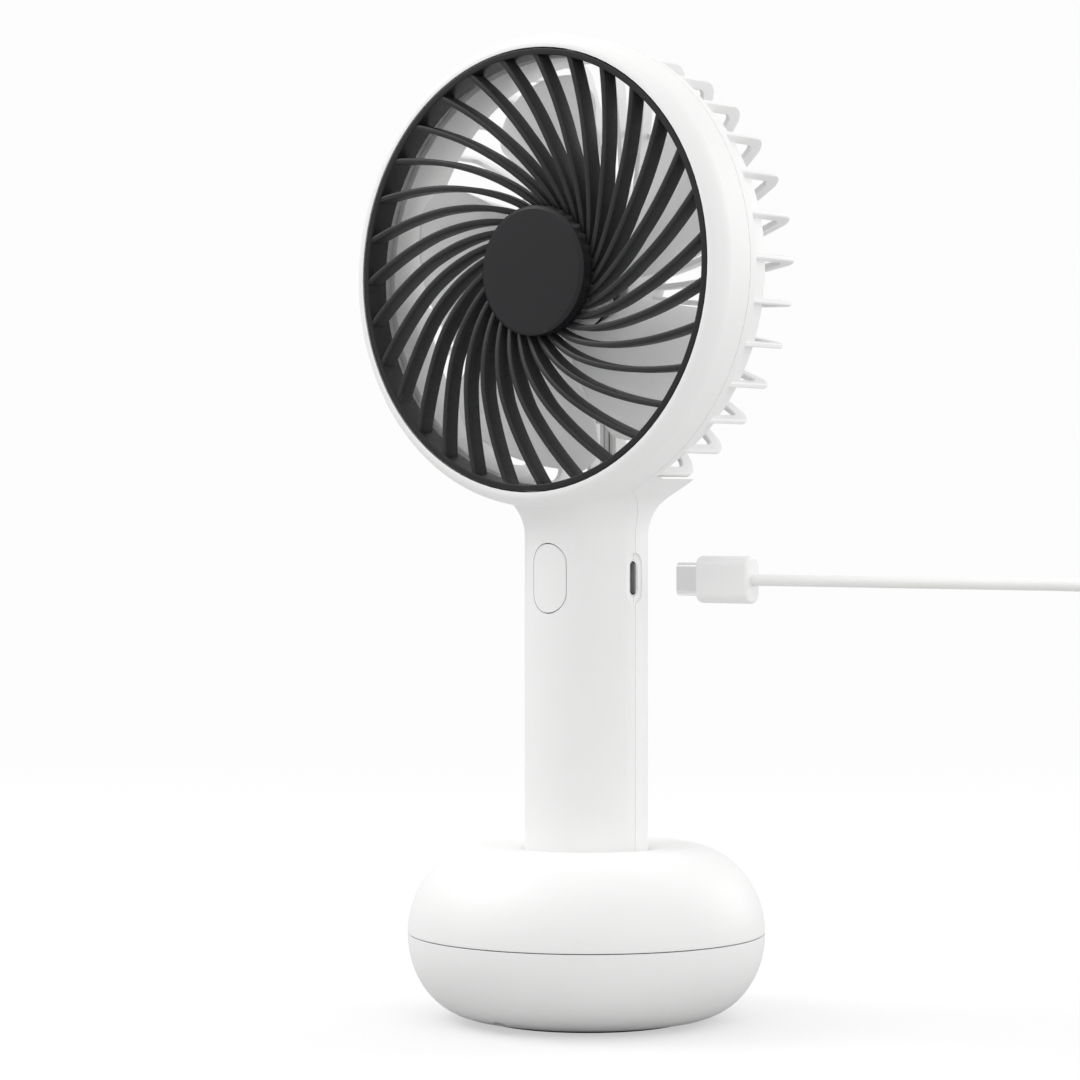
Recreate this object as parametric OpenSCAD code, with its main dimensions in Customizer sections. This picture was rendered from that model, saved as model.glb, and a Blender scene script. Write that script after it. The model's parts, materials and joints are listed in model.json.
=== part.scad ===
// Handheld electric fan standing in a round desk base, with its charging lead beside the port.
// Millimetres. +Z up, the fan faces -Y, and the origin is on the table under the handle's axis.

/* [Head] */
// Height of the head's centre above the table
head_z = 188; // [180:1:200]
// Outer radius of the head ring
head_r = 58.8; // [57.8:0.1:60]
// Outer radius of the dark front rim
rim_r = 54.8; // [54:0.1:55.2]
// How far the front rim stands in front of the handle's axis
head_front = 23.4; // [22.4:0.1:25]
// How far the rear grille stands behind the handle's axis
head_back = 13.2; // [12.5:0.1:14]
// Number of ribs on the front grille
front_ribs = 31; // [23:1:35]
// Number of ribs on the rear grille
rear_ribs = 33; // [23:1:35]
// Number of impeller blades
blades = 5; // [3:1:7]

/* [Handle] */
// Outer radius of the handle
handle_r = 15.6; // [15.4:0.1:15.8]
// Wall of the moulded shells
wall = 2; // [1.8:0.1:2.2]
// Height of the button and of the charging port
control_z = 111.5; // [108:0.5:113]
// Width of the button
button_w = 10.2; // [8:0.2:10.4]
// Height of the button
button_h = 17.2; // [14:0.2:18]

/* [Base] */
// Largest radius of the base
base_r = 45.3; // [44:0.1:48]
// Height of the base's crown
base_h = 44; // [43:0.5:46]
// Height of the joint between the base's two shells
base_seam = 21.7; // [20:0.1:23]

/* [Lead] */
// Where the plug's tip waits beside the port
plug_tip = 29.3; // [28:0.1:32]
// Radius of the cord
cord_r = 1.4; // [1.3:0.1:1.5]
// Mean radius of the tied coil
coil_r = 17; // [16:0.5:18]

/* [Hidden] */
$fn = 72;

shell_white = [0.95, 0.95, 0.94];
dark_grey = [0.17, 0.17, 0.18];
steel = [0.72, 0.72, 0.74];
far = 200;

// Head, measured backwards (+) or forwards (-) from the handle's axis
head_seam = -11;
head_lip = -8;
bore_r = rim_r + 0.3;
duct_r = rim_r - 1.4;
duct_wall = 1.6;
rib_r = 57;
front_bend = 124;
rear_bend = 30;
rib_power = 0.29;
groove_w = 3;
hook_turn = 5;
hook_leg = 2.6;
hook_depth = 4.2;
ring_back = 16.4;
hub_front = 19.3;
parting_gap = 0.12;

// Base
base_boss_r = 2.9;
base_boss_z = 6.2;
screw_head_z = 2.9;

// Handle
inner_r = handle_r - wall;
handle_low = 12.4;
cavity_top = 128;
flare_z = 122;
ledge_z = 136.3;
flare_r = 12;
flare_turn = 57;
screw_low_z = 88.6;
screw_high_z = 124.2;
screw_high_x = 8.5;

// Motor
can_r = 12.2;
can_front = -4.5;
can_back = 8;
shaft_r = 1;

// Charging port and plug
port_w = 9.2;
port_t = 3.4;
plug_reach = 7;
plug_mould = plug_tip + plug_reach;
plug_end = plug_mould + 15.4;

// Cord on its way to the table, the coil's centre, and the short tail to the far plug
cord_route = [
  [plug_end, 0, control_z], [60, 0, control_z], [70, 0, control_z], [80, 0, control_z], [90, 0, control_z],
  [100, 0, control_z], [110, 0, control_z], [120, 0, control_z], [130, 0, control_z], [140, 0, control_z],
  [150, 0, 111.2], [157, 0, 109.5], [163.5, 0, 106], [169, 0, 101], [173, 0, 95], [175.3, 0, 88],
  [176, 0, 80], [176, 0, 70], [176, 0, 60], [176, 0, 50], [176, -0.4, 41], [176, -0.5, 33],
  [176, 0, 26], [176, 1.4, 19.5], [176, 3.8, 13.8], [176, 6.7, 9], [176, 9.4, 5.8], [176, 12, 4]
];
coil_at = [159, 26];
bundle_r = 3.5;
tail_route = [[176, 40, 3.5], [176, 44, 3.6], [176, 48, 3.8], [176, 52, 4]];

// Points on part of an ellipse
function arc(at, size, from, to, steps) =
  [for (i = [0:steps]) let (t = from + (to - from) * i / steps) at + [size.x * cos(t), size.y * sin(t)]];

// Angle of a curved rib's centre line at radius r, bending more and more towards the hub
function rib_angle(r, bend) = -bend * (pow(rib_r / r, rib_power) - 1);

// Outline of one curved rib between two radii
function rib_outline(r0, r1, thick, bend, steps) =
  [for (side = [-1, 1]) for (i = [0:steps])
    let (k = side < 0 ? i : steps - i,
         r = r0 + (r1 - r0) * k / steps,
         lean = atan(bend * rib_power * pow(rib_r / r, rib_power) * PI / 180),
         t = rib_angle(r, bend))
      [r * cos(t), r * sin(t)] + side * thick / 2 * [-sin(t + lean), cos(t + lean)]];

// Stand a shape on the head's axis, its own Z pointing forwards
module on_head() { translate([0, 0, head_z]) rotate([90, 0, 0]) children(); }

// Ring about the head's axis, from y0 back to y1
module head_ring(r0, r1, y0, y1) {
  on_head() translate([0, 0, -y1]) linear_extrude(y1 - y0) difference() { circle(r1); circle(r0); }
}

// Disc about the head's axis, from y0 back to y1
module head_disc(r, y0, y1) { on_head() translate([0, 0, -y1]) cylinder(r = r, h = y1 - y0); }

// Upright rounded slot outline, w long and t wide
module slot_2d(w, t) {
  square([t, w - t], center = true);
  for (s = [-1, 1]) translate([0, s * (w - t) / 2]) circle(t / 2);
}

// Bar with a slot outline along +X, from x0 to x1
module slot_x(w, t, x0, x1) {
  translate([x0, 0, control_z]) rotate([90, 0, 90]) linear_extrude(x1 - x0) slot_2d(w, t);
}

// Bar with a slot outline along +Y, from y0 to y1
module slot_y(w, t, y0, y1) {
  translate([0, y1, control_z]) rotate([90, 0, 0]) linear_extrude(y1 - y0) slot_2d(w, t);
}

// Rounded rectangle outline
module round_rect(w, h, r) {
  square([w - 2 * r, h], center = true);
  square([w, h - 2 * r], center = true);
  for (x = [-1, 1], y = [-1, 1]) translate([x * (w / 2 - r), y * (h / 2 - r)]) circle(r);
}

// Rod along Y
module rod_y(r, x, z, y0, y1) { translate([x, y1, z]) rotate([90, 0, 0]) cylinder(r = r, h = y1 - y0); }

// Eight-sided tube swept through a route
function ring_at(route, i, r) =
  let (last = len(route) - 1,
       d = route[min(i + 1, last)] - route[max(i - 1, 0)],
       t = d / norm(d),
       u = cross(t, abs(t.y) < 0.9 ? [0, 1, 0] : [1, 0, 0]),
       a = u / norm(u),
       b = cross(t, a))
    [for (k = [0:7]) route[i] + r * (cos(45 * k) * a + sin(45 * k) * b)];
module tube(route, r) {
  last = len(route) - 1;
  points = [for (i = [0:last]) each ring_at(route, i, r)];
  sides = [for (i = [0:last - 1], k = [0:7]) let (j = (k + 1) % 8)
    each [[8 * i + k, 8 * i + j, 8 * i + 8 + k], [8 * i + j, 8 * i + 8 + j, 8 * i + 8 + k]]];
  ends = [[for (k = [7:-1:0]) k], [for (k = [0:7]) 8 * last + k]];
  polyhedron(points, concat(sides, ends));
}

// ---- Base ----

// Where the three screws hold the base's shells together
module at_base_screws() for (a = [30, 150, 270]) rotate(a) translate([33, 0, 0]) children();

module base_lower_shell() color(shell_white) difference() {
  union() {
    rotate_extrude() polygon(concat(
      [[0, 0.8]], arc([28, base_seam], [base_r - 28, base_seam - 0.8], -90, 0, 14),
      arc([28, base_seam], [base_r - 28 - wall, base_seam - 3], 0, -90, 14), [[0, 3]]));
    at_base_screws() translate([0, 0, 3.15]) cylinder(r = base_boss_r, h = base_boss_z - 3.3);
  }
  difference() {
    translate([0, 0, 0.7]) cylinder(r = 26.7, h = 0.7);
    translate([0, 0, 0.6]) cylinder(r = 20.8, h = 0.9);
  }
  at_base_screws() {
    cylinder(r = 1.2, h = 10);
    cylinder(r = 2.3, h = screw_head_z + 1.3);
  }
}

module base_upper_shell() color(shell_white) {
  difference() {
    rotate_extrude() polygon(concat(
      [[base_r - wall, base_seam + 0.25], [base_r - 0.05, base_seam + 0.25]],
      arc([25, base_seam], [base_r - 25, base_h - base_seam], 3, 90, 16),
      [[21.5, base_h - 0.15], [18.6, base_h - 0.7], [16.6, base_h - 1.4], [15.9, base_h - 2.2],
       [15.9, 11], [0, 11], [0, 9], [17.9, 9], [17.9, base_h - 3.2], [20, base_h - 2.6],
       [25, base_h - wall - 0.2]],
      arc([25, base_seam], [base_r - 25 - wall, base_h - base_seam - wall], 88, 4, 14)));
  }
  at_base_screws() translate([0, 0, base_boss_z]) difference() {
    cylinder(r = base_boss_r, h = 32.3);
    translate([0, 0, -1]) cylinder(r = 0.95, h = 9);
  }
}

module base_weight() color([0.45, 0.46, 0.48]) rotate_extrude() translate([18.5, 3.1]) square([10.4, 10]);

module base_foot_ring() color([0.25, 0.25, 0.26]) rotate_extrude() translate([21, 0]) square([5.5, 1.35]);

module base_screws() color(steel) at_base_screws() translate([0, 0, screw_head_z]) {
  difference() {
    cylinder(r = 2, h = 1.25);
    for (t = [0, 90]) rotate(t) translate([-1.2, -0.25, -0.1]) cube([2.4, 0.5, 0.8]);
  }
  cylinder(r = 0.9, h = 10);
}

module socket_pad() color([0.3, 0.3, 0.31]) translate([0, 0, 11.05]) cylinder(r = 15.4, h = 0.95);

// ---- Handle and head shells ----

// Outer form of the head ring, handle and neck, before it is split and hollowed
module outer_form() {
  on_head() rotate_extrude() polygon(concat(
    [[bore_r, -head_lip], [head_r - 0.5, -head_lip], [head_r, -head_lip + 0.5]],
    arc([bore_r + 0.3, head_front - 5], [head_r - bore_r - 0.3, 5], 0, 90, 10),
    [[bore_r, head_front]]));
  translate([0, 0, handle_low + 1.8]) cylinder(r = handle_r, h = 118 - handle_low - 1.8);
  neck();
}

// Neck: a flare round the handle's axis, kept between the head's front and back
module neck() difference() {
  intersection() {
    rotate_extrude() polygon(concat(
      [[0, 117], [handle_r, 117]],
      [for (p = arc([handle_r + flare_r, flare_z], [flare_r, flare_r], 180, 180 - flare_turn, 8)) p],
      [[35, flare_z + 19.2], [0, flare_z + 19.2]]));
    translate([-60, 0, 0]) rotate([90, 0, 90]) linear_extrude(120) polygon([
      [-handle_r - 1, 110], [-20, 128], [-20, 145], [head_back, 145], [head_back, 137],
      [head_back + 0.4, 134], [head_back + 1.5, 130], [head_back + 2.6, 126], [head_back + 3.4, 110]]);
  }
  head_disc(bore_r, -30, head_lip + 0.01);
  head_disc(rib_r + 0.2, head_lip, 30);
  translate([-60, head_lip + 0.01, ledge_z]) cube([120, 40, 20]);
}

// Space in front of the joint between the two shells
module front_side(shift) {
  translate([-80, shift, 0]) rotate([90, 0, 90]) linear_extrude(160) polygon([
    [-60, -10], [0, -10], [0, 125], [-0.8, 127.6], [-3, 130.2], [-6, 132], [-9, 133.4], [head_seam, 135.4],
    [head_seam, 260], [-60, 260]]);
}

// Hollow inside the handle, with the port's hole and pad, and the passage for the motor's wires
module handle_hollow() {
  translate([0, 0, handle_low]) cylinder(r = inner_r, h = cavity_top - handle_low);
  slot_x(port_w, port_t, 10, 20);
  slot_x(12.6, 6.6, handle_r - 0.6, 20);
  translate([0, 9.6, cavity_top - 1]) cylinder(r = 1.9, h = 6);
}

// Bosses that the three shell screws pass through, from y0 back to y1
module boss_rods(r, y0, y1) {
  rod_y(r, 0, screw_low_z, y0, y1);
  for (x = [-1, 1]) rod_y(r, x * screw_high_x, screw_high_z, y0, y1);
}

module shell_half_bosses(y0, y1) intersection() {
  boss_rods(2.7, y0, y1);
  translate([0, 0, 60]) cylinder(r = inner_r + 0.5, h = cavity_top - 60.2);
}

module front_shell() color(shell_white) difference() {
  union() {
    intersection() {
      difference() { outer_form(); handle_hollow(); }
      front_side(0);
    }
    shell_half_bosses(-16, -0.1);
  }
  slot_y(button_h + 0.5, button_w + 0.5, -20, -8);
  boss_rods(1.05, -8, 0);
  for (a = [45:90:315]) on_head() rotate(a) bayonet_slot();
}

module rear_shell() color(shell_white) difference() {
  union() {
    difference() { outer_form(); handle_hollow(); front_side(parting_gap); }
    shell_half_bosses(0.1, 16);
  }
  boss_rods(1.2, 0, 20);
  boss_rods(2.2, 8, 20);
}

// Slot that lets a lug on the front grille turn behind the ring's lip
module bayonet_slot() ring_sector(bore_r - 0.5, bore_r + 1.5, ring_back + 0.3, ring_back + 2.7, -4, 15);

// Part of a ring about Z between two angles
module ring_sector(r0, r1, z0, z1, a0, a1) intersection() {
  translate([0, 0, z0]) linear_extrude(z1 - z0) difference() { circle(r1); circle(r0); }
  translate([0, 0, z0 - 1]) linear_extrude(z1 - z0 + 2)
    polygon(concat([[0, 0]], [for (a = [a0, (a0 + a1) / 2, a1]) far * [cos(a), sin(a)]]));
}

module handle_end_cap() color(shell_white) translate([0, 0, handle_low]) {
  rotate_extrude() polygon([[0, 0], [handle_r - 0.8, 0], [handle_r, 0.8], [handle_r, 1.65], [0, 1.65]]);
  difference() {
    cylinder(r = inner_r - 0.1, h = 4.5);
    translate([0, 0, 1.6]) cylinder(r = inner_r - 1.7, h = 4);
  }
}

module shell_screws() color(steel) difference() {
  union() {
    boss_rods(0.98, -6, 8.2);
    boss_rods(1.95, 8.05, 9.6);
  }
  for (p = [[0, screw_low_z], [-screw_high_x, screw_high_z], [screw_high_x, screw_high_z]])
    for (t = [0, 90]) translate([p.x, 9.7, p.y]) rotate([90, t, 0])
      translate([-1.2, -0.25, 0]) cube([2.4, 0.5, 0.9]);
}

// ---- Grilles ----

module rear_grille() color(shell_white) {
  difference() {
    intersection() {
      on_head() translate([0, 0, -head_back]) linear_extrude(head_back - head_lip - 0.1) difference() {
        union() {
          for (i = [0:rear_ribs - 1]) rotate(2 + i * 360 / rear_ribs)
            polygon(rib_outline(14.5, rib_r, 1.3, rear_bend, 7));
        }
        translate([-groove_w / 2, -rib_r - 1]) square([groove_w, rib_r - 12]);
      }
      on_head() rotate_extrude() polygon(concat(
        [[0, -head_back]],
        arc([rib_r - hook_turn, -head_back + hook_turn], [hook_turn, hook_turn], -90, 0, 6),
        [[rib_r, 8], [0, 8]]));
    }
    on_head() rotate_extrude() polygon(concat(
      [[0, 20], [0, -head_back + hook_depth]],
      arc([rib_r - hook_leg - hook_turn / 2, -head_back + hook_depth + hook_turn / 2],
        [hook_turn / 2, hook_turn / 2], -90, 0, 4),
      [[rib_r - hook_leg, 20]]));
  }
  head_ring(duct_r, duct_r + duct_wall, head_seam - 1.8, 0.5);
  head_ring(36.4, 37.6, head_back - 1.6, head_back - 0.4);
  difference() {
    head_disc(15.5, -2, head_back);
    head_disc(can_r + 0.3, -3, head_back - 1.6);
    for (a = [90, 210, 330]) on_head() rotate(a) translate([14, 0, -2]) cylinder(r = 0.75, h = 5);
    translate([-1.8, 8.2, head_z - 16]) cube([3.6, 2.6, 6]);
  }
  difference() {
    translate([-2.6, head_back - 4.4, head_z - rib_r + 0.2]) cube([5.2, 4.4, rib_r - 15.3]);
    translate([-groove_w / 2, head_back - 5, head_z - rib_r - 1]) cube([groove_w, 3.4, rib_r - 12]);
  }
}

module front_grille() color(dark_grey) {
  difference() {
    on_head() translate([0, 0, 15.6]) linear_extrude(head_front - 15.6) {
      for (i = [0:front_ribs - 1]) rotate(9 + i * 360 / front_ribs)
        polygon(rib_outline(15.5, duct_r, 1.5, front_bend, 12));
    }
    on_head() rotate_extrude() polygon(concat([[0, hub_front], [17, hub_front]],
      arc([36, 19], [19, head_front - 19.2], 165, 90, 8),
      [[duct_r, head_front - 0.2], [duct_r, 30], [0, 30]]));
    on_head() rotate_extrude()
      polygon([[17, 15], [17, 15.8], [34, 18.7], [duct_r + 0.1, 18.7], [duct_r + 0.1, 15]]);
  }
  on_head() rotate_extrude() polygon([
    [duct_r - 0.2, ring_back], [rim_r, ring_back], [rim_r, head_front - 0.3], [rim_r - 0.3, head_front],
    [duct_r, head_front], [duct_r - 0.2, head_front - 0.2]]);
  on_head() translate([0, 0, hub_front - 1.7]) cylinder(r = 16.2, h = 1.7);
  for (a = [45:90:315]) on_head() rotate(a)
    ring_sector(rim_r - 0.4, rim_r + 1.2, ring_back + 0.7, ring_back + 2.3, -2, 2);
}

module grille_cap() color([0.27, 0.27, 0.28]) on_head() translate([0, 0, hub_front + 0.05])
  rotate_extrude() polygon([[0, 0], [16.2, 0], [16.2, 2.3], [15.4, 3.05], [0, 3.05]]);

// ---- Impeller and motor ----

// Point on a blade: u runs from root to tip, v from front edge to back edge, s picks the face
function blade_point(u, v, s) =
  let (root = v < 0.3 ? 14.9 : 16.3,
       r = root + u * (49.5 - root),
       round_off = u < 0.8 ? 0 : 0.3 * pow((u - 0.8) / 0.2, 2),
       half = (31 - 4 * u) * (1 - round_off),
       a = (2 * v - 1) * half + 12 * u,
       f = (11.4 - 12.6 * v) * (1 - 0.12 * u) + 1.8 * sin(180 * v) + s * 0.7)
    [r * cos(a), r * sin(a), f];
module blade(nu, nv) {
  step = nv + 1;
  half = (nu + 1) * step;
  points = [for (s = [1, -1], i = [0:nu], k = [0:nv]) blade_point(i / nu, k / nv, s)];
  edge = concat([for (k = [0:nv]) k], [for (i = [1:nu]) i * step + nv],
    [for (k = [nv - 1:-1:0]) nu * step + k], [for (i = [nu - 1:-1:1]) i * step]);
  n = len(edge);
  faces = concat(
    [for (i = [0:nu - 1], k = [0:nv - 1]) let (p = i * step + k)
      each [[p, p + 1, p + step], [p + 1, p + step + 1, p + step]]],
    [for (i = [0:nu - 1], k = [0:nv - 1]) let (p = half + i * step + k)
      each [[p, p + step, p + 1], [p + 1, p + step, p + step + 1]]],
    [for (k = [0:n - 1]) let (p = edge[k], q = edge[(k + 1) % n])
      each [[p, half + p, q], [q, half + p, half + q]]]);
  polyhedron(points, faces);
}

module impeller() color([0.86, 0.87, 0.88]) difference() {
  union() {
    head_disc(15.4, -12.9, -11.1);
    head_ring(13.6, 15.4, -12.9, -7.1);
    head_disc(3.4, -11.2, -6.4);
    for (i = [0:blades - 1]) on_head() rotate(21 + i * 360 / blades) blade(6, 7);
  }
  head_disc(shaft_r + 0.02, -12.1, 0);
}

module motor_can() color(steel) difference() {
  union() {
    head_disc(can_r, can_front, can_back);
    head_disc(4, can_front - 1, can_front + 0.5);
  }
  head_disc(can_r - 0.8, can_front + 0.8, can_back + 1);
  head_disc(3.02, can_front - 2, can_front + 2);
}

module motor_end_cap() color([0.2, 0.2, 0.2]) difference() {
  head_disc(can_r - 0.85, can_back - 1.6, can_back);
  head_disc(3.02, can_back - 3, can_back + 1);
}

module motor_magnets() color([0.3, 0.3, 0.32]) for (a = [20, 200])
  on_head() rotate(a) ring_sector(9.3, can_r - 0.85, -5.6, 2.6, 0, 140);

module motor_bearings() color([0.72, 0.52, 0.26]) {
  head_ring(shaft_r + 0.03, 3, can_front - 1, can_front + 1.8);
  head_ring(shaft_r + 0.03, 3, can_back - 1.6, can_back);
}

module motor_shaft() color(steel) head_disc(shaft_r, -12, can_back + 0.6);

module motor_armature() color([0.5, 0.51, 0.53]) difference() {
  union() {
    head_ring(shaft_r + 0.01, 3, -1.6, 4.4);
    for (a = [90, 210, 330]) on_head() rotate(a) {
      translate([2.5, -1, -4.4]) cube([5.4, 2, 6]);
      ring_sector(7.6, 8.8, -4.4, 1.6, -48, 48);
    }
  }
}

module motor_windings() color([0.72, 0.42, 0.2]) for (a = [90, 210, 330]) on_head() rotate(a) difference() {
  translate([3.3, -2, -5]) cube([3.6, 4, 7.2]);
  translate([3, -1.05, -4.45]) cube([5, 2.1, 6.1]);
}

module motor_commutator() color([0.72, 0.42, 0.2]) head_ring(shaft_r + 0.01, 2.2, 4.5, 5.9);

module motor_retainer() color([0.2, 0.2, 0.2]) difference() {
  head_disc(15.4, -6.1, -4.6);
  head_disc(can_r + 0.05, -4.8, 0);
  head_disc(6, -7, 0);
  for (a = [90, 210, 330]) on_head() rotate(a) translate([14, 0, 0]) cylinder(r = 0.9, h = 10);
}

module motor_screws() color(steel) for (a = [90, 210, 330]) on_head() rotate(a) translate([14, 0, 0]) {
  translate([0, 0, -1.6]) cylinder(r = 0.72, h = 7.7);
  translate([0, 0, 6.1]) cylinder(r = 1.3, h = 0.6);
}

module motor_wires() color([0.9, 0.9, 0.9]) for (s = [-1, 1]) tube([
  [s * 0.8, -0.9, control_z + 8], [s * 0.8, -0.9, 121], [s * 0.8, 0.4, 123.6], [s * 0.8, 4, 125.4],
  [s * 0.8, 7.8, 126.6], [s * 0.8, 9.5, 129.5], [s * 0.8, 9.7, 133], [s * 0.8, 9.7, head_z - 11.5]], 0.6);

// ---- Battery, board and controls ----

module battery_cell() color([0.25, 0.45, 0.7]) translate([0, 0, 20]) {
  cylinder(r = 9.2, h = 64);
  translate([0, 0, 64]) cylinder(r = 3, h = 0.9);
}

module battery_tabs() color(steel) {
  translate([-4, -3, 84.9]) cube([8, 6, 0.3]);
  translate([-12, -3, 19.6]) cube([16, 6, 0.3]);
}

module battery_pads() color([0.35, 0.35, 0.36]) for (s = [-1, 1]) intersection() {
  translate([-5, s > 0 ? 0 : -20, 32]) cube([10, 20, 40]);
  translate([0, 0, 32]) linear_extrude(40) difference() { circle(inner_r - 0.05); circle(9.25); }
}

module battery_wires() color([0.15, 0.15, 0.16]) {
  tube([[5.5, 1, 84.8], [5.5, 1, 88], [5.5, -0.2, 90.8], [5.5, -0.9, 93], [5.5, -0.9, 96]], 0.6);
  tube([[-11.4, 0, 20], [-11.4, 0, 89], [-11, -0.5, 92], [-10, -0.9, 95], [-10, -0.9, 98]], 0.6);
}

module circuit_board() color([0.1, 0.35, 0.2]) translate([-12, -2.8, 92.5]) cube([24, 1.2, 27.4]);

module board_components() color([0.12, 0.12, 0.13]) {
  translate([-4, -1.55, 98]) cube([5, 1.2, 4]);
  translate([-8.5, -1.55, 105]) cube([6, 3, 6]);
  translate([2, -1.55, 100]) cube([3, 0.9, 3]);
  translate([-9, -3.95, 96]) cube([3, 1.1, 3]);
  translate([6, -3.75, 97]) cube([4, 0.9, 2.5]);
}

module usb_receptacle() color(steel) difference() {
  slot_x(8.94, 3.14, 8, 14.95);
  slot_x(8.45, 2.6, 8.5, 16);
}

module usb_tongue() color([0.1, 0.1, 0.1]) translate([8.52, -0.35, control_z - 3.3]) cube([5.3, 0.7, 6.6]);

module tact_switch() color([0.15, 0.15, 0.16]) difference() {
  translate([-3, -6.8, control_z - 3]) cube([6, 3.95, 6]);
  rod_y(2, 0, control_z, -8, -4.8);
}

module switch_plunger() color([0.85, 0.85, 0.85]) rod_y(1.7, 0, control_z, -8.5, -6);

module button_cap() color([0.93, 0.93, 0.93]) {
  intersection() {
    slot_y(button_h, button_w, -20, -10.8);
    cylinder(r = handle_r + 0.05, h = far);
  }
  slot_y(button_h + 2, button_w + 2, -11.6, -10.8);
  rod_y(1.5, 0, control_z, -11, -8.6);
}

// ---- Charging lead ----

module plug_shell() color(steel) difference() {
  slot_x(8.25, 2.4, plug_tip, plug_mould);
  translate([plug_tip - 1, -0.6, control_z - 3.45]) cube([6.4, 1.2, 6.9]);
}

module plug_overmould() color(shell_white) translate([plug_mould, 0, control_z]) rotate([90, 0, 90])
  linear_extrude(plug_end - plug_mould) round_rect(5.9, 11.6, 2.5);

module lead_cord() color(shell_white) tube(cord_route, cord_r);

module lead_coil() color(shell_white) translate([coil_at.x, coil_at.y, bundle_r]) difference() {
  rotate_extrude() translate([coil_r, 0]) circle(bundle_r, $fn = 24);
  translate([-coil_r, 0, 0]) rotate([90, 0, 0]) difference() {
    cylinder(r = 6, h = 7.4, center = true);
    cylinder(r = 2.6, h = 9, center = true);
  }
}

module lead_tie() color(dark_grey) translate([coil_at.x - coil_r, coil_at.y, bundle_r]) rotate([90, 0, 0])
  difference() {
    cylinder(r = 3.45, h = 7, center = true);
    cylinder(r = 2.75, h = 9, center = true);
  }

module lead_tail() color(shell_white) tube(tail_route, cord_r);

module far_plug_body() color(shell_white) translate([176, 52, 4]) rotate([-90, 0, 0])
  linear_extrude(22) round_rect(15.6, 8, 2.4);

module far_plug_shell() color(steel) translate([176, 74, 4]) rotate([-90, 0, 0]) difference() {
  linear_extrude(12) square([12, 4.5], center = true);
  translate([0, 0, 0.6]) linear_extrude(12) square([11.4, 3.9], center = true);
}

module far_plug_tongue() color([0.1, 0.1, 0.1]) translate([170.6, 74.65, 2.3]) cube([10.8, 10.6, 1.7]);

base_lower_shell();
base_upper_shell();
base_weight();
base_foot_ring();
base_screws();
socket_pad();
handle_end_cap();
front_shell();
rear_shell();
shell_screws();
rear_grille();
front_grille();
grille_cap();
impeller();
motor_can();
motor_end_cap();
motor_magnets();
motor_bearings();
motor_shaft();
motor_armature();
motor_windings();
motor_commutator();
motor_retainer();
motor_screws();
motor_wires();
battery_cell();
battery_tabs();
battery_pads();
battery_wires();
circuit_board();
board_components();
usb_receptacle();
usb_tongue();
tact_switch();
switch_plunger();
button_cap();
plug_shell();
plug_overmould();
lead_cord();
lead_coil();
lead_tie();
lead_tail();
far_plug_body();
far_plug_shell();
far_plug_tongue();
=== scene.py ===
import json
import math

import bmesh
import bpy
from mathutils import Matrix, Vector


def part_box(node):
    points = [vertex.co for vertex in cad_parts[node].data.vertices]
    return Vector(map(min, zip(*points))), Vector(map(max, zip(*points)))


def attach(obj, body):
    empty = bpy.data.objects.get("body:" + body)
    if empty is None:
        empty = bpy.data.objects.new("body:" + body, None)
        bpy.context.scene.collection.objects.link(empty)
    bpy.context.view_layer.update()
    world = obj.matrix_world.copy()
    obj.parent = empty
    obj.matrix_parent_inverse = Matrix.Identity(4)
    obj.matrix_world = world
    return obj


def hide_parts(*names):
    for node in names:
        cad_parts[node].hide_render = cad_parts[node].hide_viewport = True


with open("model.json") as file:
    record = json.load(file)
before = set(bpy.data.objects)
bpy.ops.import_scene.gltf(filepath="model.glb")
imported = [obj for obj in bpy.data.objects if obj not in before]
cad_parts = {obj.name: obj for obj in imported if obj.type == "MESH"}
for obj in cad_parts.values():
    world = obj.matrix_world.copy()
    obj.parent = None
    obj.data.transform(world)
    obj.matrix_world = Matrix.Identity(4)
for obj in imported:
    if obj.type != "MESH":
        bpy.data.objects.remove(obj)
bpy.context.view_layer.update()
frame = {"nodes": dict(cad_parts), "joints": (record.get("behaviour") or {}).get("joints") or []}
joints = {joint["name"]: joint for joint in frame["joints"]}

# ---- Camera ----
# It has a long lens and stands low over the table, in front of the fan and on its charging side. It looks
# very slightly down, at the middle of the fan's height.


def linked(name, data):
    """A new object of this data, linked into the scene."""
    made = bpy.data.objects.new(name, data)
    bpy.context.scene.collection.objects.link(made)
    return made


camera = linked("camera", bpy.data.cameras.new("camera"))
camera.location = (0.5229, -0.6616, 0.1279)
camera.rotation_euler = (math.radians(89.53), 0, math.radians(39.119))
camera.data.sensor_width = 36
camera.data.lens = 110.96
camera.data.clip_start = 0.01
bpy.context.scene.camera = camera

# ---- Charging cord ----
# A thin round cord with a soft white jacket over its wires. It leaves the plug level, drops to the table
# beside the fan, and its spare length is wound into a small coil that a tie holds.
mm = 0.001
cord_r = 1.4
plug_low, plug_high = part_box("plug_overmould")
port_z = (plug_low.z + plug_high.z) / 2 / mm
plug_end = plug_high.x / mm
coil_at = (159, 26)
coil_r = 17
coil_turns = 4
bundle_mid = 3.5
strand_at = 2.0
steps_in_turn = 24
first_dip, dip_over = 0.2, 0.04
tail_out, table_gap = 4.3, 0.1
leave_early, leave_over = 0.3, 0.25
level_run = [(x, 0, port_z) for x in (plug_end, *range(60, 150, 10))]
free_route = level_run + [
    (150, 0, 111.2), (157, 0, 109.5), (163.5, 0, 106), (169, 0, 101), (173, 0, 95), (175.3, 0, 88),
    (176, 0, 80), (176, 0, 70), (176, 0, 60), (176, 0, 50), (176, -0.4, 41), (176, -0.5, 33),
    (176, 0, 26), (176, 1.4, 19.5), (176, 3.8, 13.8), (176, 6.7, 9), (176, 9.4, 5.8), (176, 12, 4.2),
]
tail_route = [(177.2, 38, 2.9), (176.3, 43, 3.6), (176, 48, 3.8), (176, 52, 4)]


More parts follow.
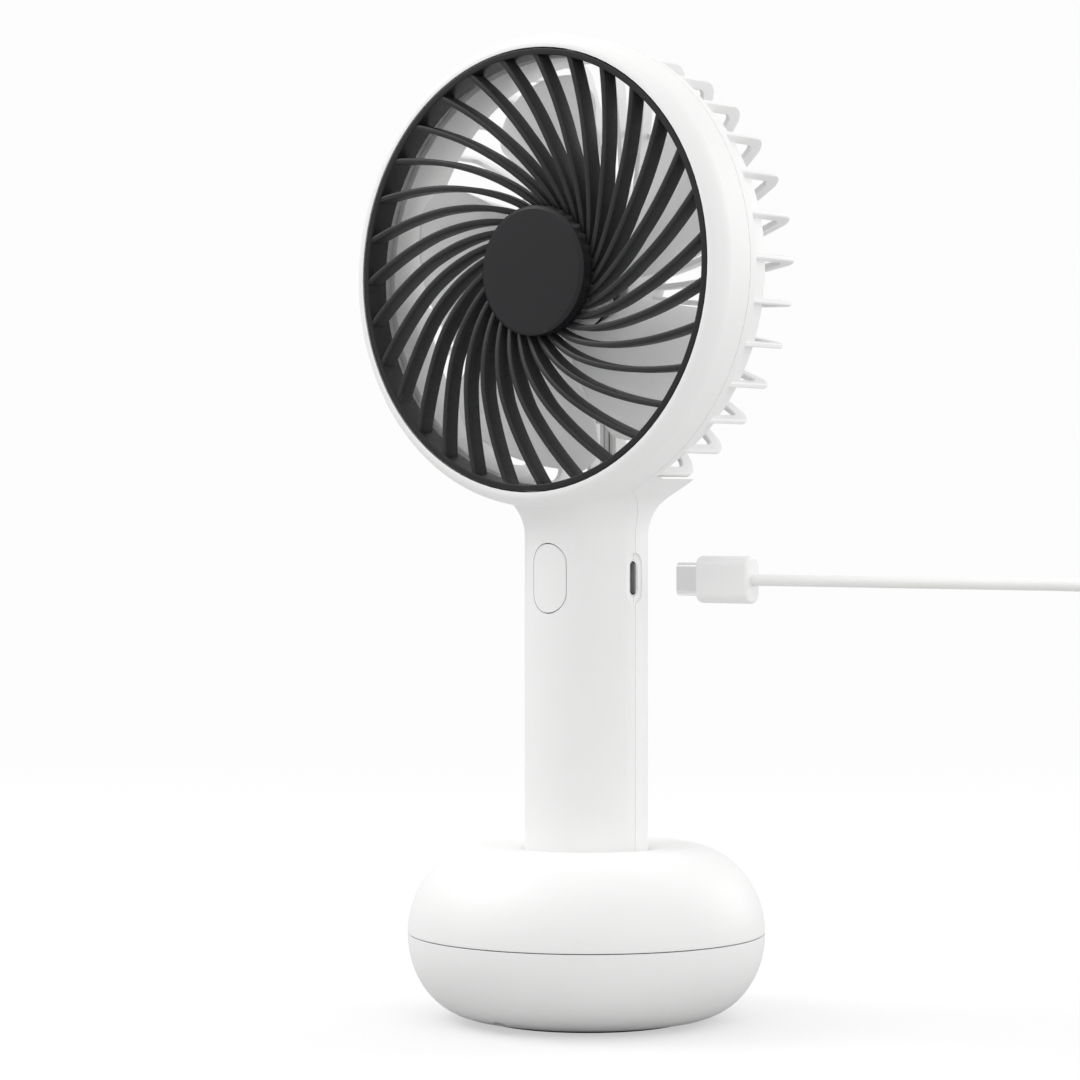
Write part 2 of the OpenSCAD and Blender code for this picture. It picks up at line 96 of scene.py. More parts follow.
def coil_point(turn):
    """A point on the coil, in millimetres, after so many turns. The strands twist round each other, and each
    lies a quarter of the way round the bundle from the last. The last one leaves it for the table."""
    across = math.radians(45 + 90 * turn)
    out, up = strand_at * math.cos(across), strand_at * math.sin(across)
    leave = min(1, max(0, (turn - coil_turns + leave_early) / leave_over))
    leave = leave * leave * (3 - 2 * leave)
    out = out + (tail_out - out) * leave
    up = up + (cord_r + table_gap - bundle_mid - up) * leave
    arrive = max(0, 1 - turn / dip_over)
    up = up - first_dip * arrive
    angle = 2 * math.pi * turn
    return (
        coil_at[0] + (coil_r + out) * math.cos(angle),
        coil_at[1] + (coil_r + out) * math.sin(angle),
        bundle_mid + up,
    )


coil_steps = coil_turns * steps_in_turn
coil_route = [coil_point(i / steps_in_turn) for i in range(coil_steps + 1)]
cord_points = [Vector(p) * mm for p in free_route + coil_route + tail_route]


def tube_along(name, points, radius, sides=16):
    """A curve of one open spline, thickened to a round tube."""
    line = bpy.data.curves.new(name, "CURVE")
    line.dimensions = "3D"
    line.bevel_depth = radius
    line.bevel_resolution = sides // 4
    line.use_fill_caps = True
    line.resolution_u = 3
    spline = line.splines.new("NURBS")
    spline.points.add(len(points) - 1)
    for knot, place in zip(spline.points, points):
        knot.co = (*place, 1)
    spline.order_u = 3
    spline.use_endpoint_u = True
    return linked(name, line)


def add(tree, kind, inputs=None, **settings):
    """A node with its settings. An input is set to a value, or linked where the value is a socket."""
    made = tree.nodes.new(kind)
    for name, value in settings.items():
        setattr(made, name, value)
    for name, value in (inputs or {}).items():
        if isinstance(value, bpy.types.NodeSocket):
            tree.links.new(value, made.inputs[name])
        else:
            made.inputs[name].default_value = value
    return made


def group(name, inputs, outputs):
    """An empty shader node group with named sockets, and its two end nodes."""
    tree = bpy.data.node_groups.new(name, "ShaderNodeTree")
    for label, kind in inputs.items():
        tree.interface.new_socket(name=label, in_out="INPUT", socket_type=kind)
    for label, kind in outputs.items():
        tree.interface.new_socket(name=label, in_out="OUTPUT", socket_type=kind)
    return tree, tree.nodes.new("NodeGroupInput"), tree.nodes.new("NodeGroupOutput")


def maths(tree, operation, *values):
    """The outcome of a Math node on two or three values or sockets."""
    return add(tree, "ShaderNodeMath", dict(enumerate(values)), operation=operation).outputs[0]


def build_moulding(mottle_scale=45.0, edge_from=0.52, edge_full=0.6, gloss_spread=0.12):
    """Surface of a moulded or machined part: fine grain, soft mottling, and lighter edges, worn by handling
    on some parts and a painted highlight on the front grille's charcoal.
    """
    tree, given, out = group(
        "moulding",
        {
            "Color": "NodeSocketColor", "Edge Color": "NodeSocketColor", "Roughness": "NodeSocketFloat",
            "Grain Scale": "NodeSocketFloat", "Grain Depth": "NodeSocketFloat", "Stretch": "NodeSocketVector",
            "Mottle": "NodeSocketFloat", "Edge Wear And Sheen": "NodeSocketFloat",
        },
        {"Color": "NodeSocketColor", "Roughness": "NodeSocketFloat", "Normal": "NodeSocketVector"},
    )
    wanted = given.outputs
    place = add(tree, "ShaderNodeTexCoord").outputs["Object"]
    stretched = add(tree, "ShaderNodeMapping", {"Vector": place, "Scale": wanted["Stretch"]})
    noise = add(tree, "ShaderNodeTexNoise", {
        "Vector": stretched.outputs[0], "Scale": wanted["Grain Scale"], "Detail": 4.0, "Roughness": 0.6})
    grain = noise.outputs["Fac"]
    bump = add(tree, "ShaderNodeBump", {"Height": grain, "Distance": wanted["Grain Depth"], "Strength": 1.0})
    broad = add(tree, "ShaderNodeTexNoise", {"Vector": place, "Scale": mottle_scale, "Detail": 3.0})
    spread = add(tree, "ShaderNodeMapRange", {
        "Value": broad.outputs["Fac"], "From Min": 0.3, "From Max": 0.7, "To Min": -1.0, "To Max": 1.0})
    amount = maths(tree, "MULTIPLY", spread.outputs[0], wanted["Mottle"])
    gain = maths(tree, "ADD", amount, 1.0)
    shade = add(tree, "ShaderNodeVectorMath", {0: wanted["Color"], "Scale": gain}, operation="SCALE")
    shape = add(tree, "ShaderNodeNewGeometry")
    # Convex edges take the edge colour: wear on the worn parts, and a painted highlight on the front grille's
    # charcoal ribs and rim.
    edge = add(tree, "ShaderNodeMapRange", {
        "Value": shape.outputs["Pointiness"], "From Min": edge_from, "From Max": edge_full})
    worn_and_sheen = maths(tree, "MULTIPLY", edge.outputs[0], grain)
    wear_and_sheen = maths(tree, "MULTIPLY", worn_and_sheen, wanted["Edge Wear And Sheen"])
    mixed = add(tree, "ShaderNodeMix", {
        0: wear_and_sheen, 6: shade.outputs[0], 7: wanted["Edge Color"]}, data_type="RGBA")
    rough = maths(tree, "MULTIPLY_ADD", grain, gloss_spread, wanted["Roughness"])
    even = maths(tree, "SUBTRACT", rough, gloss_spread / 2)
    tree.links.new(mixed.outputs[2], out.inputs["Color"])
    tree.links.new(even, out.inputs["Roughness"])
    tree.links.new(bump.outputs["Normal"], out.inputs["Normal"])
    return tree


moulding = build_moulding()


def finish(name, colour, roughness, grain=(900, 0.00003), stretch=(1, 1, 1), mottle=0.02, edge=None, wear_and_sheen=0.3,
           metallic=0.0, coat=0.0, ior=1.46, soft=0.0, scatter=0.002):
    """A material with the moulding group's colour, roughness and normal, and its own constants on the shader.
    Grain is a scale and a depth, and the depth and the scatter are in metres."""
    made = bpy.data.materials.new(name)
    made.use_nodes = True
    tree = made.node_tree
    tree.nodes.clear()
    base = (*colour, 1)
    skin = add(tree, "ShaderNodeGroup", node_tree=moulding)
    for label, value in {
        "Color": base, "Edge Color": (*(edge or colour), 1), "Roughness": roughness, "Grain Scale": grain[0],
        "Grain Depth": grain[1], "Stretch": stretch, "Mottle": mottle, "Edge Wear And Sheen": wear_and_sheen,
    }.items():
        skin.inputs[label].default_value = value
    shader = add(tree, "ShaderNodeBsdfPrincipled", {
        "Base Color": skin.outputs["Color"], "Roughness": skin.outputs["Roughness"],
        "Normal": skin.outputs["Normal"], "Metallic": metallic, "IOR": ior, "Coat Weight": coat,
        "Subsurface Weight": soft, "Subsurface Radius": (1, 1, 1), "Subsurface Scale": scatter})
    add(tree, "ShaderNodeOutputMaterial", {"Surface": shader.outputs[0]})
    return made


jacket_white = finish(
    "soft_white_jacket", (0.9, 0.9, 0.89), 0.5, grain=(1400, 0.000005), mottle=0.015, soft=0.05)

cord = tube_along("charging_cord", cord_points, cord_r * mm)
cord.data.materials.append(jacket_white)
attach(cord, "lead")
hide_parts("lead_cord", "lead_coil", "lead_tail")

# ---- Cord tie ----
# A short strap of black soft plastic, closed round the coil where its strands lie together. It keeps the
# spare length of the cord wound up.
soft_black = finish("soft_black_strap", (0.02, 0.02, 0.022), 0.55, grain=(2400, 0.00006), mottle=0.08)


def smooth(mesh, hard=32):
    """Smooths a mesh's shading, and keeps the edges whose faces meet at more than hard degrees."""
    mesh.shade_smooth()
    mesh.set_sharp_from_angle(angle=math.radians(hard))


def piece(name, form, material, hard=32):
    """A named object from a bmesh, its faces outward and smooth, and its hard edges kept."""
    bmesh.ops.recalc_face_normals(form, faces=form.faces)
    mesh = bpy.data.meshes.new(name)
    form.to_mesh(mesh)
    form.free()
    smooth(mesh, hard)
    mesh.materials.append(material)
    return linked(name, mesh)


def rounded(corners, steps=5):
    """An outline whose corners, each (across, along, fillet), are rounded off."""
    points = []
    for i, (x, y, fillet) in enumerate(corners):
        here = Vector((x, y))
        before = Vector(corners[i - 1][:2]) - here
        after = Vector(corners[(i + 1) % len(corners)][:2]) - here
        if not fillet or not before.length or not after.length:
            points.append(here)
            continue
        cut = fillet / math.tan(before.angle(after) / 2)
        cut = min(cut, 0.49 * before.length, 0.49 * after.length)
        start, end = here + before.normalized() * cut, here + after.normalized() * cut
        for k in range(steps + 1):
            t = k / steps
            points.append(start * (1 - t) ** 2 + here * 2 * t * (1 - t) + end * t * t)
    return points


def on_z(x, y, along):
    """A place in metres from millimetres, for a part turned about the handle's axis."""
    return Vector((x, y, along)) * mm


def lathe(outline, place=on_z, steps=160):
    """A bmesh turned from a closed outline of (radius, along) points in millimetres."""
    form = bmesh.new()
    rings = []
    for radius, along in outline:
        if radius < 1e-6:
            rings.append([form.verts.new(place(0, 0, along))] * steps)
            continue
        turns = [2 * math.pi * i / steps for i in range(steps)]
        circle = [(radius * math.cos(a), radius * math.sin(a)) for a in turns]
        rings.append([form.verts.new(place(x, y, along)) for x, y in circle])
    for low, high in zip(rings, rings[1:] + rings[:1]):
        for i in range(steps):
            j = (i + 1) % steps
            corners = list(dict.fromkeys((low[i], low[j], high[j], high[i])))
            if len(corners) > 2:
                form.faces.new(corners)
    return form


tie_low, tie_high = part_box("lead_tie")
tie_mid = (tie_low + tie_high) / 2 / mm
tie_r = (tie_high.z - tie_low.z) / 2 / mm
tie_half = (tie_high.y - tie_low.y) / 2 / mm
tie_bore = tie_r - 0.6


def on_tie(x, y, along):
    """A place in metres for a part turned about the strands' own line, where the tie holds them."""
    return Vector((tie_mid.x + x, tie_mid.y + along, tie_mid.z + y)) * mm


tie_form = lathe(rounded([
    (tie_r, -tie_half, 0.3), (tie_r, tie_half, 0.3), (tie_bore, tie_half, 0.2), (tie_bore, -tie_half, 0.2)]),
    on_tie, 64)
tie = piece("cord_tie", tie_form, soft_black)
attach(tie, "lead")
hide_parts("lead_tie")

# ---- Plugs ----
# Each plug is a drawn steel shell in a soft white overmould. The small one waits in line with the port, and
# the wide one at the far end lies beside the coil.
steel = finish(
    "drawn_steel", (0.93, 0.93, 0.935), 0.24, grain=(500, 0.00001), stretch=(0.1, 1, 1), mottle=0.03,
    metallic=1.0)
mould_white = finish("soft_white_overmould", (0.9, 0.9, 0.895), 0.42, grain=(1300, 0.00002), soft=0.05)
tongue_black = finish("contact_tongue", (0.02, 0.02, 0.02), 0.4, grain=(700, 0.00002), stretch=(1, 6, 1))


def softened(name, nodes, material, edge, limit=32, segments=3):
    """A copy of CAD nodes whose facets are merged, and whose edges that turn by more than limit degrees are
    rounded by edge millimetres."""
    weld_within, flat_within = 2e-6, 0.4
    form = bmesh.new()
    for node in nodes:
        form.from_mesh(frame["nodes"][node].data)
    bmesh.ops.remove_doubles(form, verts=form.verts, dist=weld_within)
    bmesh.ops.dissolve_limit(
        form, angle_limit=math.radians(flat_within), verts=form.verts, edges=form.edges)
    sharp = [e for e in form.edges if len(e.link_faces) == 2 and e.calc_face_angle(0) > math.radians(limit)]
    bmesh.ops.bevel(
        form, geom=sharp, offset=edge * mm, offset_type="OFFSET", segments=segments, profile=0.5,
        affect="EDGES", clamp_overlap=True, miter_outer="ARC")
    made = piece(name, form, material, 40)
    weights = made.modifiers.new("even_normals", "WEIGHTED_NORMAL")
    weights.keep_sharp = True
    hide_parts(*nodes)
    return made


overmould = softened("plug_cover", ["plug_overmould"], mould_white, 0.75, 60, 5)
plug = softened("plug_tube", ["plug_shell"], steel, 0.1, 60)
far_cover = softened("far_plug_cover", ["far_plug_body"], mould_white, 0.8, 60, 5)
far_tube = softened("far_plug_tube", ["far_plug_shell"], steel, 0.1, 60)
far_tongue = softened("far_plug_contacts", ["far_plug_tongue"], tongue_black, 0.15)
plug_slots = {
    overmould: "lead_mould", plug: "steel", far_cover: "lead_mould", far_tube: "steel",
    far_tongue: "black_plastic"}
for part, slot in plug_slots.items():
    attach(part, "lead")

# ---- Base ----
# Two round white shells, screwed together from below, make a pebble with a socket for the handle. They hold
# a ring of cast ballast and stand on a rubber ring.
shell_white = finish(
    "matte_white_moulding", (0.9, 0.9, 0.895), 0.46, grain=(1500, 0.000025), mottle=0.01,
    edge=(0.93, 0.93, 0.93), soft=0.03)
rubber = finish("grey_rubber", (0.12, 0.12, 0.125), 0.8, grain=(700, 0.00008), mottle=0.1)
ballast = finish(
    "cast_ballast", (0.28, 0.29, 0.3), 0.62, grain=(320, 0.0002), mottle=0.2, edge=(0.5, 0.5, 0.5),
    metallic=0.9)


def coat_node(material, *names):
    """Gives CAD nodes that keep their shape a finish of this file's."""
    for name in names:
        slots = frame["nodes"][name].data.materials
        slots.clear()
        slots.append(material)


base_lower = softened("base_lower", ["base_lower_shell"], shell_white, 0.15)
base_upper = softened("base_upper", ["base_upper_shell"], shell_white, 0.15)
foot = softened("base_foot", ["base_foot_ring"], rubber, 0.3)
for part, slot in {base_lower: "shell_white", base_upper: "shell_white", foot: "rubber_grey"}.items():
    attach(part, "base")
coat_node(ballast, "base_weight")
coat_node(rubber, "socket_pad")

# ---- Screws ----
# Small plated steel screws with a pan head. Three point up into the base, with a cross recess and a rolled
# thread. Three more close the handle's shells, and three hold the motor.
screw_steel = finish(
    "plated_screw_steel", (0.66, 0.66, 0.68), 0.28, grain=(900, 0.00002), mottle=0.06, metallic=1.0)


def build_ring_of_copies():
    """Geometry Nodes: copies of a piece, each turned on from the last about a centre."""
    tree = bpy.data.node_groups.new("ring_of_copies", "GeometryNodeTree")
    for label, kind in {
        "Geometry": "NodeSocketGeometry", "Count": "NodeSocketInt", "Centre": "NodeSocketVector",
        "First Turn": "NodeSocketVector", "Turn Step": "NodeSocketVector", "Material": "NodeSocketMaterial",
    }.items():
        tree.interface.new_socket(name=label, in_out="INPUT", socket_type=kind)
    tree.interface.new_socket(name="Geometry", in_out="OUTPUT", socket_type="NodeSocketGeometry")
    given, out = tree.nodes.new("NodeGroupInput"), tree.nodes.new("NodeGroupOutput")
    points = add(tree, "GeometryNodePoints", {
        "Count": given.outputs["Count"], "Position": given.outputs["Centre"]})
    index = add(tree, "GeometryNodeInputIndex")
    turned = add(tree, "ShaderNodeVectorMath", {
        0: given.outputs["Turn Step"], 1: index.outputs[0], 2: given.outputs["First Turn"]},
        operation="MULTIPLY_ADD")
    facing = add(tree, "FunctionNodeEulerToRotation", {"Euler": turned.outputs[0]})
    copies = add(tree, "GeometryNodeInstanceOnPoints", {
        "Points": points.outputs[0], "Instance": given.outputs["Geometry"], "Rotation": facing.outputs[0]})
    real = add(tree, "GeometryNodeRealizeInstances", {"Geometry": copies.outputs[0]})
    painted = add(tree, "GeometryNodeSetMaterial", {
        "Geometry": real.outputs[0], "Material": given.outputs["Material"]})
    tree.links.new(painted.outputs[0], out.inputs[0])
    return tree


ring_of_copies = build_ring_of_copies()


def worked_out(made):
    """A plain mesh of an object with its modifiers worked out."""
    return bpy.data.meshes.new_from_object(made.evaluated_get(bpy.context.evaluated_depsgraph_get()))


def copies_of(source, name, count, centre, first, step, material):
    """One plain mesh piece of count copies of source, which is used up. The first copy's turn and the step
    from each to the next are in degrees about X, Y and Z."""
    values = {
        "Count": count, "Centre": centre, "First Turn": [math.radians(a) for a in first],
        "Turn Step": [math.radians(a) for a in step], "Material": material}
    modifier = source.modifiers.new("copies", "NODES")
    modifier.node_group = ring_of_copies
    for item in ring_of_copies.interface.items_tree:
        if item.in_out == "INPUT" and item.name in values:
            modifier[item.identifier] = values[item.name]
    mesh = worked_out(source)
    mesh.name = name
    bpy.data.objects.remove(source)
    return linked(name, mesh)


def combine(piece_a, piece_b, operation):
    """Cuts piece_b from piece_a or joins the two into one solid, and uses piece_b up."""
    cutter = piece_a.modifiers.new("combine", "BOOLEAN")
    cutter.operation = operation
    cutter.solver = "MANIFOLD"
    cutter.object = piece_b
    mesh = worked_out(piece_a)
    piece_a.modifiers.remove(cutter)
    piece_a.data = mesh
    bpy.data.objects.remove(piece_b)
    smooth(mesh)
    return piece_a


def box_form(low, high):
    """A bmesh box between two corners, in millimetres."""
    form = bmesh.new()
    low, high = Vector(low), Vector(high)
    bmesh.ops.create_cube(form, size=1)
    for vert in form.verts:
        vert.co = Vector((low[i] + high[i]) / 2 + vert.co[i] * (high[i] - low[i]) for i in range(3)) * mm
    return form


def screw(name, place, head_r, head_h, shaft_r, length):
    """One screw with a ridge for each thread. Its head's top is at along 0, and its shaft ends at length."""
    pitch, plain_run = 0.55, 0.4
    ridges = int((length - head_h - 2 * plain_run) / pitch)
    root_r = shaft_r * 0.82
    thread = [
        (shaft_r if k % 2 else root_r, head_h + plain_run + pitch * k / 2, 0) for k in range(2 * ridges)]
    outline = [(0, 0, 0), (head_r, 0, head_h * 0.45), (head_r, head_h, 0.1), (root_r, head_h, 0)]
    outline += thread + [(shaft_r * 0.3, length, 0), (0, length, 0)]
    made = piece(name, lathe(rounded(outline), place, 40), screw_steel)
    recess_long, recess_wide, recess_deep, above = head_r * 0.6, head_r * 0.13, head_h * 0.6, 0.2
    for wide, tall in ((recess_long, recess_wide), (recess_wide, recess_long)):
        low, high = place(-wide, -tall, -above) / mm, place(wide, tall, recess_deep) / mm
        lows = [min(a, b) for a, b in zip(low, high)]
        highs = [max(a, b) for a, b in zip(low, high)]
        combine(made, piece("recess", box_form(lows, highs), screw_steel), "DIFFERENCE")
    return made


screw_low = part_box("base_screws")[0]
base_screw_r = 33


def under_base(x, y, along):
    """A place for a screw that points up into the base, out on the base's first screw hole."""
    return Vector((base_screw_r + x, y, screw_low.z / mm + along)) * mm


base_screws = copies_of(
    screw("base_screw", under_base, head_r=2.0, head_h=1.25, shaft_r=0.9, length=10),
    "base_screw_set", 3, (0, 0, 0), (0, 0, 30), (0, 0, 120), screw_steel)
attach(base_screws, "base")
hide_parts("base_screws")
handle_screws = softened("handle_screw_set", ["shell_screws"], screw_steel, 0.08, 50, 2)
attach(handle_screws, "fan")

# ---- Handle and head shells ----
# Two half shells of matte white plastic, parted down the handle's sides and round the head's edge, with the
# port in the seam. A turned cap closes the handle's lower end.
front_half = softened("front_half", ["front_shell"], shell_white, 0.12)
rear_half = softened("rear_half", ["rear_shell"], shell_white, 0.12)
end_cap = softened("end_cap", ["handle_end_cap"], shell_white, 0.2)
for part in (front_half, rear_half, end_cap):
    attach(part, "fan")

# ---- Button ----
# One long white button, moulded in the handle's colour and nearly flush with its front. A flange behind it
# stops it from falling out, and it presses on the switch's plunger.
button_white = finish("button_white", (0.9, 0.9, 0.895), 0.38, grain=(1800, 0.000015), mottle=0.008)
button = softened("button", ["button_cap"], button_white, 0.3, 45, 4)
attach(button, "button")
coat_node(button_white, "switch_plunger")

# ---- Front grille ----
# A charcoal ring with curved ribs that lean towards the hub like a closing flower, deep enough to keep
# fingers out. Four lugs on the ring turn behind the head's lip.
# Its pale edge colour, laid on convex edges by the moulding group, is a painted highlight along the front
# edges of the ribs and rim.
charcoal = finish(
    "matte_charcoal", (0.016, 0.016, 0.0175), 0.42, grain=(1500, 0.00003), mottle=0.05,
    edge=(0.12, 0.12, 0.125), wear_and_sheen=0.6, ior=1.36)
head = Vector(joints["impeller_spin"]["pos_m"])
grille_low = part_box("front_grille")[0]
rim_r = -grille_low.x / mm
rim_front = -grille_low.y / mm
rim_back = 16.4
rim_wall = 1.6
rib_tip = 57
rib_power = 0.29
front_ribs = 31
front_first = 9
front_bend = 124
rib_in, rib_out, rib_rows = 15.5, rim_r - 1.2, 44
rib_inset, rib_back = 0.2, 18.7
dish_r, dish_run, dish_deep = 36, 19, 4.2
root_r, root_run, root_deep = 34, 17, 2.9
plate_r, plate_back, plate_front = 16.2, 17.6, 19.3
lug_sunk, lug_out, lug_half = 0.4, 1.2, 1.9
lug_back, lug_front = 0.7, 2.3


def on_head(x, up, forward):
    """A place in metres for a part turned about the head's axis, from millimetres across, up and forward."""
    return head + Vector((x, -forward, up)) * mm


def round_axis(x, up, forward):
    """The same place, but about the origin, for a piece that is still to be copied round the axis."""
    return Vector((x, -forward, up)) * mm


def swept_rib(sections):
    """A closed bmesh through cross-sections, each a loop of points."""
    form = bmesh.new()
    loops = [[form.verts.new(p) for p in loop] for loop in sections]
    for a, b in zip(loops, loops[1:]):
        for i in range(len(a)):
            j = (i + 1) % len(a)
            form.faces.new((a[i], a[j], b[j], b[i]))
    form.faces.new(loops[0])
    form.faces.new(loops[-1])
    return form


def rib_frame(radius, bend):
    """Where a curved rib's centre line crosses a radius, and the direction across it there."""
    def at(r):
        turn = -math.radians(bend) * ((rib_tip / r) ** rib_power - 1)
        return Vector((r * math.cos(turn), r * math.sin(turn)))
    along = (at(radius + 0.01) - at(radius - 0.01)).normalized()
    return at(radius), Vector((-along.y, along.x))


def front_rib_section(radius):
    """A rib's section, square behind and rounded in front, sunk towards the hub."""
    mid, across = rib_frame(radius, front_bend)
    inward = max(0, (dish_r - radius) / dish_run)
    front = rim_front - rib_inset - dish_deep * inward ** 2
    back = rib_back - root_deep * max(0, min(1, (root_r - radius) / root_run))
    half, soft, facet_in, facet_down = 0.75, 0.42, 0.12, 0.16
    outline = [
        (-half, back), (-half, front - soft), (-half + facet_in, front - facet_down), (-half + soft, front),
        (half - soft, front), (half - facet_in, front - facet_down), (half, front - soft), (half, back)]
    return [round_axis(*(mid + across * side), depth) for side, depth in outline]


rib_radii = [rib_in + (rib_out - rib_in) * k / rib_rows for k in range(rib_rows + 1)]
front_rib = piece("front_rib", swept_rib([front_rib_section(r) for r in rib_radii]), charcoal)
front_ribs_piece = copies_of(
    front_rib, "front_ribs", front_ribs, head, (0, -front_first, 0), (0, -360 / front_ribs, 0), charcoal)
rim = piece("front_grille_ring", lathe(rounded([
    (rim_r - rim_wall, rim_back, 0.2), (rim_r, rim_back, 0.2), (rim_r, rim_front, 0.35),
    (rim_r - rim_wall, rim_front, 0.35)]), on_head, 256), charcoal)
hub_plate = piece("hub_plate", lathe(rounded([
    (0, plate_back, 0), (plate_r, plate_back, 0.3), (plate_r, plate_front, 0.1), (0, plate_front, 0)]),
    on_head, 128), charcoal)
lug = piece("lug", box_form(
    (rim_r - lug_sunk, -rim_back - lug_front, -lug_half), (rim_r + lug_out, -rim_back - lug_back, lug_half)),
    charcoal)
lugs = copies_of(lug, "lugs", 4, head, (0, -45, 0), (0, -90, 0), charcoal)
grille = combine(rim, front_ribs_piece, "UNION")
combine(grille, hub_plate, "UNION")
combine(grille, lugs, "UNION")
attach(grille, "grille")
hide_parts("front_grille")

# ---- Hub cap ----
# A plain satin disc, bevelled at its edge and a little crowned. It is moulded in charcoal plastic and glued
# over the ribs' roots.
satin_charcoal = finish(
    "satin_charcoal", (0.019, 0.019, 0.021), 0.36, grain=(2600, 0.00001), mottle=0.04, edge=(0.1, 0.1, 0.1),
    ior=1.33)
cap_low, cap_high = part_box("grille_cap")
cap_r = cap_high.x / mm
cap_back, cap_front = -cap_high.y / mm, -cap_low.y / mm
crown_r, crown_drop, crown_steps = cap_r * 0.93, 0.12, 8
bevel_r, bevel_top, bevel_foot = cap_r * 0.945, 0.14, 0.85
crown = [(crown_r * k / crown_steps, cap_front - crown_drop * (k / crown_steps) ** 2, 0)
         for k in range(crown_steps + 1)]
cap_edge = [
    (bevel_r, cap_front - bevel_top, 0.2), (cap_r, cap_front - bevel_foot, 0.25), (cap_r, cap_back, 0.1)]
cap = piece("hub_cap", lathe(rounded(crown + cap_edge + [(0, cap_back, 0)]), on_head, 160), satin_charcoal)
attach(cap, "grille")
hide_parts("grille_cap")

# ---- Rear grille ----
# White hooked ribs run out from the motor's cup and turn forward at the edge, into a ring that carries the
# head. A second small ring ties them halfway, and a channel hides the motor's wires.
rear_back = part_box("rear_grille")[1].y / mm
head_z = head.z / mm
rear_ribs = 33
rear_first = 2
rear_bend = 30
rear_thick = 1.3
rear_depth = 4.2
rear_leg = 2.6
hook_turn = 5
rear_root, flat_short, flat_steps, hook_steps = 14.8, 7, 24, 8
leg_backs = (rear_back - 10, -3, -7.9)
duct_r, duct_wall, duct_front, duct_end = 53.4, 1.6, 12.8, -0.5
ring_in, ring_out, ring_sunk = 36.4, 37.6, 0.4
cup_r, cup_bore, cup_lip, floor_thick = 15.5, 12.5, 2, 1.6
channel_half, channel_deep, channel_end = 2.6, 4.4, 15.1
groove_half, groove_deep, groove_end, gap_end = 1.5, 5, 16, 13


def hook_path():
    """The rib's outer and inner line, as (radius, back) pairs, from the cup out and round to the ring."""
    lines = []
    for k in range(flat_steps + 1):
        radius = rear_root + (rib_tip - flat_short - rear_root) * k / flat_steps
        lines.append(((radius, rear_back), (radius, rear_back - rear_depth)))
    for k in range(1, hook_steps + 1):
        turn = math.radians(90 - 90 * k / hook_steps)
        bow = Vector((math.cos(turn), math.sin(turn)))
        outer = Vector((rib_tip, rear_back)) - (Vector((1, 1)) - bow) * hook_turn
        inner = Vector((rib_tip - rear_leg, rear_back - rear_depth)) - (Vector((1, 1)) - bow) * hook_turn / 2
        lines.append((outer, inner))
    for back in leg_backs:
        lines.append(((rib_tip, back), (rib_tip - rear_leg, back)))
    return lines


def rear_rib_section(outer, inner):
    """A hooked rib's section between its outer and inner line, with its corners eased."""
    loop = []
    ease = 0.28
    for point, other, signs in ((outer, inner, (-1, 1)), (inner, outer, (1, -1))):
        toward = (Vector(other) - Vector(point)).normalized()
        for sign in signs:
            lines = ((rear_thick / 2, ease), (rear_thick / 2 - ease, 0))
            for side, sink in lines if sign == signs[0] else lines[::-1]:
                radius, back = Vector(point) + toward * sink
                mid, across = rib_frame(radius, rear_bend)
                loop.append(round_axis(*(mid + across * side * sign), -back))
    return loop


rear_rib = piece("rear_rib", swept_rib([rear_rib_section(o, i) for o, i in hook_path()]), shell_white)
rear_ribs_piece = copies_of(
    rear_rib, "rear_ribs", rear_ribs, head, (0, -rear_first, 0), (0, -360 / rear_ribs, 0), shell_white)
duct = piece("rear_duct", lathe(rounded([
    (duct_r, duct_front, 0.2), (duct_r + duct_wall, duct_front, 0.2), (duct_r + duct_wall, duct_end, 0.2),
    (duct_r, duct_end, 0.2)]), on_head, 256), shell_white)
tie_ring = piece("rear_tie_ring", lathe(rounded([
    (ring_in, -rear_back + ring_sunk, 0.3), (ring_out, -rear_back + ring_sunk, 0.3),
    (ring_out, -rear_back + floor_thick, 0.2), (ring_in, -rear_back + floor_thick, 0.2)]), on_head, 200),
    shell_white)
cup = piece("motor_cup", lathe(rounded([
    (0, -rear_back, 0), (cup_r, -rear_back, 0.6), (cup_r, cup_lip, 0.3), (cup_bore, cup_lip, 0.2),
    (cup_bore, -rear_back + floor_thick, 0.2), (0, -rear_back + floor_thick, 0)]), on_head, 128), shell_white)
channel = piece("wire_channel", box_form(
    (-channel_half, rear_back - channel_deep, head_z - rib_tip + 0.2),
    (channel_half, rear_back, head_z - channel_end)), shell_white)
groove = piece("groove", box_form(
    (-groove_half, rear_back - groove_deep, head_z - rib_tip - 1),
    (groove_half, rear_back - floor_thick, head_z - groove_end)), shell_white)
combine(channel, groove, "DIFFERENCE")
rib_gap = piece("rib_gap", box_form(
    (-groove_half, -9, head_z - rib_tip - 1), (groove_half, rear_back + 1, head_z - gap_end)), shell_white)
combine(rear_ribs_piece, rib_gap, "DIFFERENCE")
rear_grille = combine(duct, rear_ribs_piece, "UNION")
for part in (tie_ring, cup, channel):
    combine(rear_grille, part, "UNION")
rear_grille.name = "rear_cage"
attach(rear_grille, "fan")
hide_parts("rear_grille")

# ---- Impeller ----
# Five broad pitched blades on a cup-shaped hub, moulded in one piece in a pale, slightly clear plastic. The
# hub is pressed on to the motor's shaft.
blade_grey = finish(
    "pale_clear_moulding", (0.92, 0.922, 0.925), 0.3, grain=(600, 0.000015), mottle=0.015, coat=0.1, soft=0.7,
    scatter=0.012)
blades = 5
blade_first = 21
blade_tip = 49.5
front_root, back_root = 14.9, 16.3
blade_half, blade_taper, blade_sweep = 31, 4, 12
blade_front, blade_fall, blade_bow, blade_thick = 11.4, 12.6, 1.8, 0.7
hub_r, hub_front, hub_back = 15.4, 12.9, 7.1
hub_bore, hub_web = 13.6, 11.1
boss_r, boss_back = 3.4, 6.4
shaft_r, shaft_end = 1.02, 12.1


